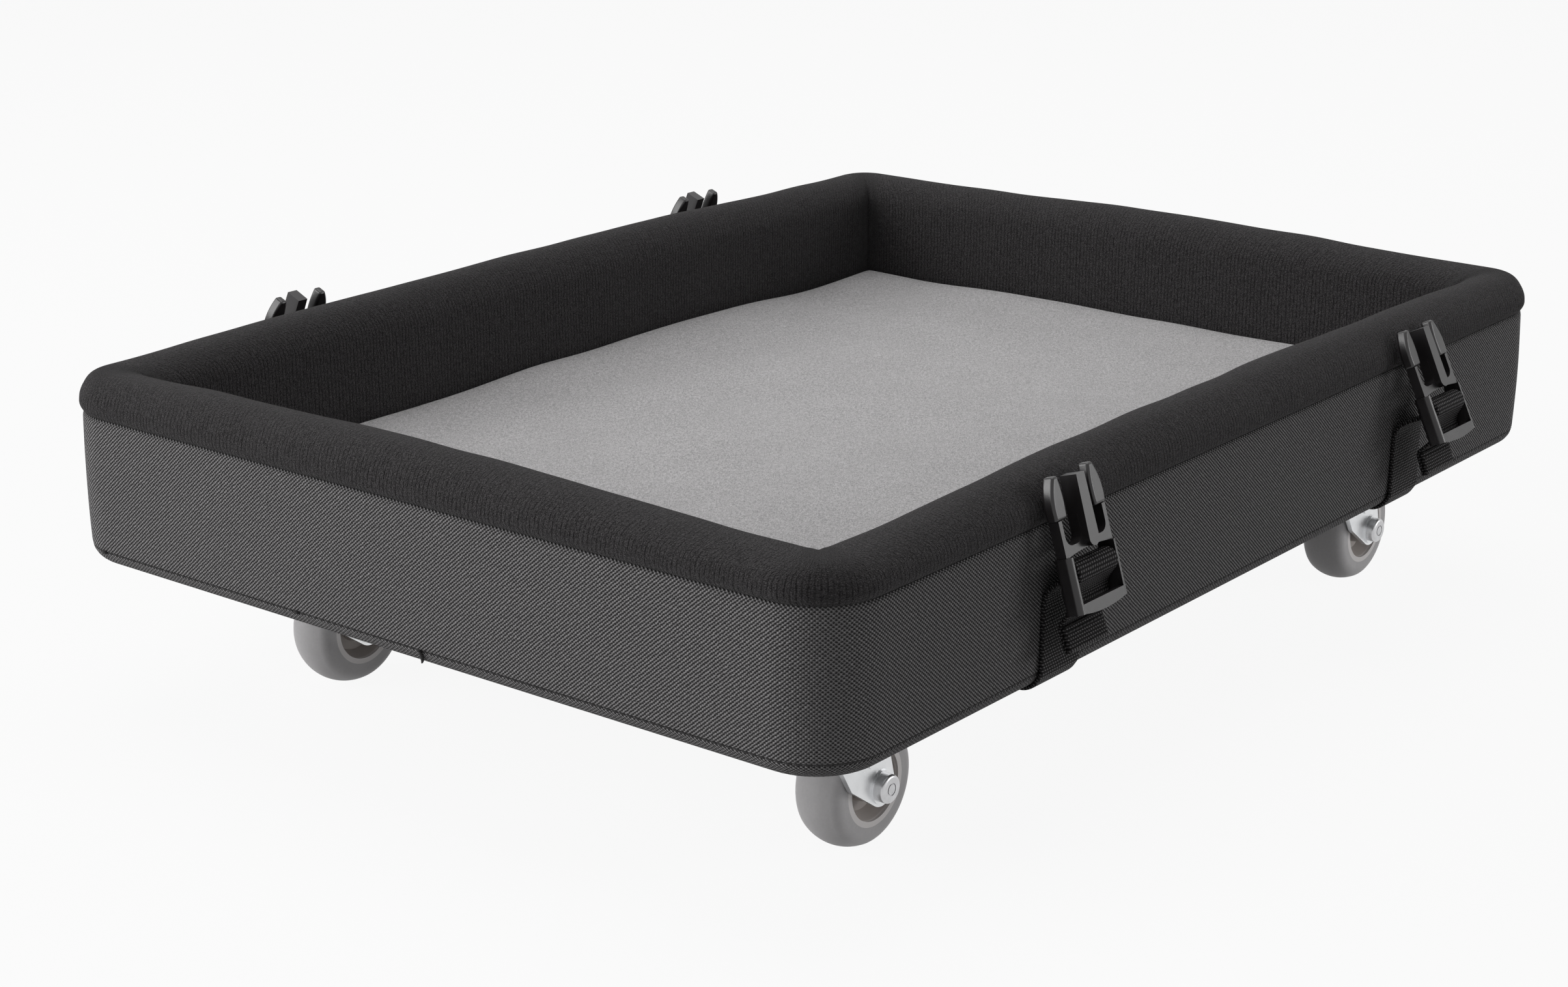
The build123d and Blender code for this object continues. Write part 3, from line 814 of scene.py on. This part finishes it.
def puff(piece, sewn, pressure, cap):
    """Swells a closed cloth from its sewn points and keeps the result; no point moves more than the cap."""
    scene = bpy.context.scene
    frames = 20
    start = [vertex.co.copy() for vertex in piece.data.vertices]
    group = piece.vertex_groups.new(name="sewn")
    group.add(sewn, 1.0, "REPLACE")
    cloth = piece.modifiers.new("puff", "CLOTH")
    cloth.settings.quality = 6
    cloth.settings.mass = 0.25
    cloth.settings.tension_stiffness = 18
    cloth.settings.compression_stiffness = 18
    cloth.settings.shear_stiffness = 6
    cloth.settings.bending_stiffness = 0.8
    cloth.settings.use_pressure = True
    cloth.settings.uniform_pressure_force = pressure
    cloth.settings.vertex_group_mass = "sewn"
    cloth.settings.effector_weights.gravity = 0
    for number in range(frames):
        scene.frame_set(number + 1)
    shaped = piece.evaluated_get(bpy.context.evaluated_depsgraph_get())
    moved = [vertex.co.copy() for vertex in shaped.data.vertices]
    piece.modifiers.remove(cloth)
    piece.vertex_groups.remove(group)
    scene.frame_set(1)
    for vertex, old, new in zip(piece.data.vertices, start, moved):
        step = new - old
        if step.length > cap:
            step *= cap / step.length
        vertex.co = old + step


class TRAY_OT_rim(Operator):
    """The padded wall under its knit lining: the rolled rim, the inside walls and their corner creases"""

    bl_idname = "tray.rim"
    bl_label = "Padded rim"

    def execute(self, context):
        profile, shown = rim_profile()
        slack = 1.1 * MM
        lump_depth = 0.9 * MM
        crease_depth = 3.0 * MM
        crease_width = 0.2
        elsewhere = Vector((5, 1, 3))
        dips = corner_dips()
        rows = []
        for number, (offset, z) in enumerate(profile):
            row = plan_row(offset, wall_corner(offset), z)
            before = profile[number - 1]
            after = profile[(number + 1) % len(profile)]
            run = Vector((after[0] - before[0], after[1] - before[1])).normalized()
            soft = clamped((number - 1) / 5) * clamped((shown - 1 - number) / 3)
            inside = clamped((-offset - 14 * MM) / (16 * MM))
            for place, (at, share, normal) in enumerate(PLAN):
                step = place_in_corner(place)
                crease = math.exp(-(step / crease_width) ** 2) * inside if step is not None else 0.0
                lump = noise.noise(row[place] * 14.0) + 0.6 * noise.noise(row[place] * 37.0 + elsewhere)
                out = normal * run.y - Vector((0, 0, run.x))
                swell = out * (soft * (lump_depth * lump - slack))
                row[place] += swell + normal * (soft * crease_depth * crease)
                row[place].z -= soft * dips[place] * max(z - SEAM_Z, 0.0) / (CREST_Z - SEAM_Z)
            rows.append(row)
        mesh = lofted("padded_rim", rows, profile_ways(profile), closed=True)
        rim = place_piece("padded_rim", mesh, loop_knit())
        count = len(PLAN)
        free_from = SEAM_Z + 2.5 * MM
        held = [row for row, (offset, z) in enumerate(profile) if z < free_from]
        sewn = [row * count + here for row in held for here in range(count)]
        puff(rim, sewn, pressure=10.0, cap=3 * MM)
        smooth = rim.modifiers.new("smooth", "SUBSURF")
        smooth.levels = smooth.render_levels = 1
        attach(rim, "tray")
        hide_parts("lining", "wall_foam_front", "wall_foam_back", "wall_foam_left", "wall_foam_right")
        return {"FINISHED"}


def corner_dips():
    """How far the rim sinks at each point of the plan: the padding is packed lower towards the corners."""
    depths = (2.5 * MM, 2.5 * MM, 5.0 * MM, 2.5 * MM)
    reach = 95 * MM
    radius = sizes().corner_radius
    straights = (2 * (HALF_LENGTH - radius), 2 * (HALF_WIDTH - radius))
    made = []
    for at, share, normal in PLAN:
        behind = math.exp(-((share * straights[at % 2] / reach) ** 2)) * depths[at]
        ahead = math.exp(-(((1 - share) * straights[at % 2] / reach) ** 2)) * depths[(at + 1) % 4]
        made.append(max(behind, ahead))
    return made


def place_in_corner(place):
    """How far a point of the plan is from the middle of its corner, as a share of a half corner, or None."""
    at, share, normal = PLAN[place]
    if share > 0:
        return None
    angle = math.atan2(normal.y, normal.x) % (TURN / 4)
    return abs(angle / (TURN / 8) - 1)


def edge_lines(half, fine, step):
    """Grid lines from edge to edge: the fine distances at both edges, and even steps between them."""
    inner = half - fine[-1]
    count = max(int(2 * inner / step), 1)
    middle = [-inner + 2 * inner * number / count for number in range(1, count)]
    return [gap - half for gap in fine] + middle + [half - gap for gap in reversed(fine)]


def round_corner(x, y, half_x, half_y, radius):
    """Moves a point of a rectangle's corner square into the round of that corner."""
    over_x = (abs(x) - half_x + radius) / radius
    over_y = (abs(y) - half_y + radius) / radius
    if over_x > 0 and over_y > 0:
        x = math.copysign(half_x - radius + radius * over_x * math.sqrt(1 - over_y ** 2 / 2), x)
        y = math.copysign(half_y - radius + radius * over_y * math.sqrt(1 - over_x ** 2 / 2), y)
    return x, y


class TRAY_OT_felt(Operator):
    """The grey felt on the tray's floor, with edges that ride up a little against the walls"""

    bl_idname = "tray.felt"
    bl_label = "Felt"

    def execute(self, context):
        thick = FELT_HIGH.z - FELT_LOW.z
        edge = 1.5 * MM
        corner_radius = 5 * MM
        climb = 34 * MM
        half_x = FELT_HIGH.x
        half_y = FELT_HIGH.y
        fine = [gap * MM for gap in (0.0, 0.15, 0.5, 1.0, 1.6, 2.5, 5.0)]
        lines_x = edge_lines(half_x, fine, 6 * MM)
        lines_y = edge_lines(half_y, fine, 6 * MM)
        points = []
        for top in (0, 1):
            for y in lines_y:
                for x in lines_x:
                    gap = min(half_x - abs(x), half_y - abs(y))
                    short = max(edge - gap, 0.0)
                    turn = edge - math.sqrt(edge ** 2 - short ** 2)
                    lift = thick - turn if top else turn * 0.6
                    near = math.exp(-((gap / climb) ** 2))
                    flat = Vector((x, y, 0))
                    wave = noise.noise(flat * 8.0 + Vector((2, 7, 0)))
                    ripple = noise.noise(flat * 21.0 + Vector((9, 4, 0)))
                    lump = noise.noise(flat * 15.0)
                    lift += (1.6 * MM + 3.2 * MM * wave + 0.7 * MM * ripple) * near + 0.4 * MM * lump
                    spot = round_corner(x, y, half_x, half_y, corner_radius)
                    points.append((*spot, FELT_LOW.z + lift))
        wide = len(lines_x)
        deep = len(lines_y)
        sheet = wide * deep
        faces = []
        for row in range(deep - 1):
            for column in range(wide - 1):
                corner = row * wide + column
                patch = (corner, corner + 1, corner + wide + 1, corner + wide)
                faces.append(tuple(reversed(patch)))
                faces.append(tuple(sheet + number for number in patch))
        rim = list(range(wide)) + [row * wide + wide - 1 for row in range(1, deep)]
        rim += [sheet - 1 - number for number in range(1, wide)]
        rim += [row * wide for row in range(deep - 2, 0, -1)]
        for first, second in zip(rim, rim[1:] + rim[:1]):
            faces.append((first, second, sheet + second, sheet + first))
        mesh = make_mesh("felt_pad", points, faces)
        felt = place_piece("felt_pad", mesh, grey_felt(), "tray")
        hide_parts("felt_mat", "floor_foam")
        return {"FINISHED"}


def buckle_lean(corner):
    """The buckle's lean back over the rim, from where its prong tips stand above its bar."""
    bar = JOINT_AT["buckle_tilt_" + corner]
    tip_length = 4 * MM
    tongue_half = 6 * MM
    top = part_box("buckle_" + corner)[1].z - tip_length
    spots = [vertex.co for vertex in frame["nodes"]["buckle_" + corner].data.vertices]
    tips = [spot for spot in spots if spot.z > top and abs(spot.x - bar.x) > tongue_half]
    middle = sum(tips, Vector()) / len(tips)
    return math.atan2(abs(bar.y) - abs(middle.y), middle.z - bar.z)


def cut_corners(points, rounds):
    """A run of points with its corners cut again and again until it is smooth."""
    for number in range(rounds):
        cut = [points[0]]
        for first, second in zip(points, points[1:]):
            cut += [first.lerp(second, 0.25), first.lerp(second, 0.75)]
        points = cut + [points[-1]]
    return points


def strap_path(corner):
    """The strap in side view, as distance out from the casing and height, from sewn end to folded tail."""
    size = sizes()
    hinge = JOINT_AT["strap_flap_" + corner]
    bar = JOINT_AT["buckle_tilt_" + corner]
    lean = buckle_lean(corner)
    thick = size.webbing_thickness
    loop = 3.85 * MM
    layer = thick + 0.5 * MM
    guide = 12.3 * MM
    hinge_out = abs(hinge.y) - HALF_WIDTH

    def from_bar(behind, along):
        out = abs(bar.y) - HALF_WIDTH - behind * math.cos(lean) - along * math.sin(lean)
        return Vector((out, bar.z - behind * math.sin(lean) + along * math.cos(lean)))

    edge = size.lower_edge
    lift = thick / 2 + 0.1 * MM
    reach = edge + lift
    points = [Vector((-edge - 3 * MM, COVER_Z - lift))]
    for degrees in (85, 70, 55, 40, 26):
        angle = math.radians(degrees)
        points.append(Vector((reach * math.cos(angle) - edge, COVER_Z + edge - reach * math.sin(angle))))
    release = Vector((hinge_out, bar.z - 11 * MM))
    points += [
        Vector((hinge_out, hinge.z)),
        Vector((hinge_out, hinge.z + 4 * MM)),
        release.lerp(Vector((hinge_out, hinge.z)), 0.4),
        release,
        release.lerp(from_bar(loop, 0), 0.5),
        from_bar(loop, -2 * MM),
    ]
    loop_steps = 12
    loop_degrees = 235
    for step in range(loop_steps + 1):
        angle = math.radians(180 - loop_degrees * step / loop_steps)
        points.append(from_bar(-loop * math.cos(angle), loop * math.sin(angle)))
    tail_top = from_bar(loop - layer / 2, -guide)
    run = (Vector((hinge_out + layer, hinge.z + 12 * MM)) - tail_top).normalized()
    tail_middle = tail_top + run * 9 * MM
    flare = math.radians(20)
    outward = Vector((math.sin(flare), -math.cos(flare)))
    fold = Vector((-outward.y, outward.x)) * thick * 1.12
    tail_end = tail_middle + outward * 8.5 * MM
    points += [
        from_bar(loop - layer / 2, -guide + 5 * MM),
        tail_top,
        tail_top + run * 5 * MM,
        tail_middle,
        tail_middle + outward * 4 * MM,
        tail_end,
        tail_end + outward * 0.8 * MM,
        tail_end + outward * 0.8 * MM + fold,
        tail_end + fold,
        tail_middle + outward * 4 * MM + fold,
        tail_middle + fold + outward * 0.3 * MM,
    ]
    return cut_corners(points, 3), (tail_middle + outward * 2.4 * MM + fold * 1.55, outward)


def ribbon(name, path, centre_x, side):
    """Webbing swept along a side-view path: a flat band with round selvedges; also gives its length."""
    size = sizes()
    half = size.webbing_width / 2
    thick = size.webbing_thickness / 2
    across = [(-1.0, 0.0), (-0.985, 0.62), (-0.95, 0.92)]
    across += [(-0.9 + 1.8 * step / 10, 1.0) for step in range(11)]
    across += [(0.95, 0.92), (0.985, 0.62), (1.0, 0.0)]
    section = across + [(place, -lift) for place, lift in reversed(across[1:-1])]
    count = len(section)
    ways = profile_ways([tuple(point) for point in path])
    points = []
    for number, point in enumerate(path):
        run = path[min(number + 1, len(path) - 1)] - path[max(number - 1, 0)]
        run.normalize()
        out = Vector((run.y, -run.x))
        for place, lift in section:
            spot = point + out * (lift * thick)
            points.append((centre_x + place * half, side * (HALF_WIDTH + spot.x), spot.y))
    faces = []
    spots = []
    for number in range(len(path) - 1):
        low = number * count
        faces += band_faces(low, low + count, count)
        for here in range(count):
            after = (here + 1) % count
            spots += [
                (section[here][0] * half, ways[number]),
                (section[after][0] * half, ways[number]),
                (section[after][0] * half, ways[number + 1]),
                (section[here][0] * half, ways[number + 1]),
            ]
    last = (len(path) - 1) * count
    faces += [tuple(range(count)), tuple(range(last, last + count))]
    spots += [(place * half, 0.0) for place, lift in section]
    spots += [(place * half, ways[-1]) for place, lift in section]
    return make_mesh(name, points, faces, spots), ways[-1]


class TRAY_OT_straps(Operator):
    """The four webbing straps, from the hem up round the buckle's bar and down to a stitched tail"""

    bl_idname = "tray.straps"
    bl_label = "Straps"

    def execute(self, context):
        size = sizes()
        weave = strap_weave()
        thread = sewing_thread()
        tail_stitches = 10
        sewn_share = 0.92
        for corner in CORNERS:
            hinge = JOINT_AT["strap_flap_" + corner]
            side = math.copysign(1, hinge.y)
            path, (seam, down) = strap_path(corner)
            mesh, long = ribbon("strap_" + corner, path, hinge.x, side)
            strap = place_piece("strap_webbing_" + corner, mesh, weave)
            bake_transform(strap)
            if corner == CORNERS[0]:
                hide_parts("webbing_" + corner, "strap_anchors")
            else:
                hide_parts("webbing_" + corner)
            out = Vector((0, side * -down.y, down.x)).normalized()
            spots = []
            for number in range(tail_stitches):
                across = size.webbing_width * ((number + 0.5) / tail_stitches - 0.5) * sewn_share
                middle = Vector((hinge.x + across, side * (HALF_WIDTH + seam.x), seam.y))
                spots.append((middle, Vector((1, 0, 0)), out))
            mesh = stitches("tail_stitches_" + corner, spots, 2.1 * MM, 0.8 * MM)
            seam_row = place_piece("tail_stitches_" + corner, mesh, thread, "strap_" + corner)
        return {"FINISHED"}


def refinish(prefix, finish):
    """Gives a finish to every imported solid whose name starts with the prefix."""
    found = [solid for name, solid in frame["nodes"].items() if name.startswith(prefix)]
    if not found:
        raise RuntimeError("no packed solid is named " + prefix)
    for solid in found:
        for slot in solid.material_slots:
            slot.material = finish


class TRAY_OT_buckles(Operator):
    """Finish of the four moulded buckles"""

    bl_idname = "tray.buckles"
    bl_label = "Buckles"

    def execute(self, context):
        refinish("buckle_", moulded_plastic())
        return {"FINISHED"}


class TRAY_OT_casters(Operator):
    """Finishes of the casters, their fixings and the board that they are bolted to"""

    bl_idname = "tray.casters"
    bl_label = "Casters"

    def execute(self, context):
        zinc = bright_zinc()
        steel = turned_steel()
        for prefix in ("fork_", "caster_plate_", "tee_nuts"):
            refinish(prefix, zinc)
        for prefix in ("axle_", "kingpin_", "swivel_balls_", "caster_bolts"):
            refinish(prefix, steel)
        for corner in CORNERS:
            refinish("tyre_" + corner, tyre_rubber(corner))
            refinish("hub_" + corner, hub_plastic(corner))
        refinish("base_board", plywood_face())
        return {"FINISHED"}


def softbox(name, place, aim, width, height, watts):
    """A soft lamp at a place, turned to a point."""
    data = bpy.data.lights.new(name, "AREA")
    data.shape = "RECTANGLE"
    data.size = width
    data.size_y = height
    data.energy = watts
    lamp = bpy.data.objects.new(name, data)
    bpy.context.scene.collection.objects.link(lamp)
    lamp.location = place
    lamp.rotation_euler = (Vector(aim) - Vector(place)).to_track_quat("-Z", "Y").to_euler()


class TRAY_OT_stage(Operator):
    """The pale floor, the soft studio light and the camera"""

    bl_idname = "tray.stage"
    bl_label = "Stage"

    def execute(self, context):
        scene = context.scene
        scene.view_settings.view_transform = "Standard"
        half = 8.0
        corners = [(x * half, y * half, 0) for x, y in ((-1, -1), (1, -1), (1, 1), (-1, 1))]
        mesh = bpy.data.meshes.new("floor")
        mesh.from_pydata(corners, [], [(0, 1, 2, 3)])
        floor = bpy.data.objects.new("floor", mesh)
        scene.collection.objects.link(floor)
        finish = Finish("floor", roughness=0.9, specular_ior_level=0.0)
        finish.feed("Base Color", tuple(colours().floor))
        white = finish.node("ShaderNodeEmission", None, {"Strength": 1.0})
        blend = finish.node(
            "ShaderNodeMixShader",
            None,
            {0: finish.background_ray() * 0.92, 1: Wire(finish, finish.shader.outputs[0]), 2: white},
        )
        finish.tree.links.new(blend.socket, finish.tree.nodes["Material Output"].inputs["Surface"])
        mesh.materials.append(finish.material)
        sky = bpy.data.worlds.new("studio")
        sky.use_nodes = True
        scene.world = sky
        studio = Sky(sky)
        studio.feed("Strength", studio.background_ray() * 0.75 + 0.2)
        studio.feed("Color", (1, 1, 1))
        aim = (0, 0, 0.1)
        softbox("left_box", (-1.9, 1.5, 0.95), aim, width=1.8, height=1.6, watts=52)
        softbox("right_box", (1.6, -2.2, 0.7), aim, width=1.2, height=1.0, watts=20)
        softbox("top_box", (0.1, 0.2, 2.4), aim, width=2.0, height=2.0, watts=26)
        lens = bpy.data.cameras.new("photo_camera")
        lens.sensor_width = 36
        lens.lens = 65.47
        camera = bpy.data.objects.new("photo_camera", lens)
        scene.collection.objects.link(camera)
        camera.location = (-0.9389, -0.7107, 0.4404)
        camera.rotation_euler = (math.radians(72.32), 0, math.radians(-51.55))
        scene.camera = camera
        return {"FINISHED"}


OPERATORS = (
    TRAY_OT_stage,
    TRAY_OT_casing,
    TRAY_OT_hem,
    TRAY_OT_rim,
    TRAY_OT_felt,
    TRAY_OT_straps,
    TRAY_OT_buckles,
    TRAY_OT_casters,
)


class TRAY_PT_build(Panel):
    """Sizes, colours and the steps that build the tray"""

    bl_idname = "TRAY_PT_build"
    bl_label = "Padded rolling tray"
    bl_space_type = "VIEW_3D"
    bl_region_type = "UI"
    bl_category = "Tray"

    def draw(self, context):
        for group in (context.scene.tray_sizes, context.scene.tray_colours):
            for name in group.__annotations__:
                self.layout.prop(group, name)
        for step in OPERATORS:
            self.layout.operator(step.bl_idname)


CLASSES = (TraySizes, TrayColours, *OPERATORS, TRAY_PT_build)


def register():
    for kind in CLASSES:
        bpy.utils.register_class(kind)
    bpy.types.Scene.tray_sizes = PointerProperty(type=TraySizes)
    bpy.types.Scene.tray_colours = PointerProperty(type=TrayColours)


def unregister():
    del bpy.types.Scene.tray_colours
    del bpy.types.Scene.tray_sizes
    for kind in reversed(CLASSES):
        bpy.utils.unregister_class(kind)


def main():
    register()
    bpy.ops.tray.stage()
    bpy.ops.tray.casing()
    bpy.ops.tray.hem()
    bpy.ops.tray.rim()
    bpy.ops.tray.felt()
    bpy.ops.tray.straps()
    bpy.ops.tray.buckles()
    bpy.ops.tray.casters()


if __name__ == "__main__":
    main()
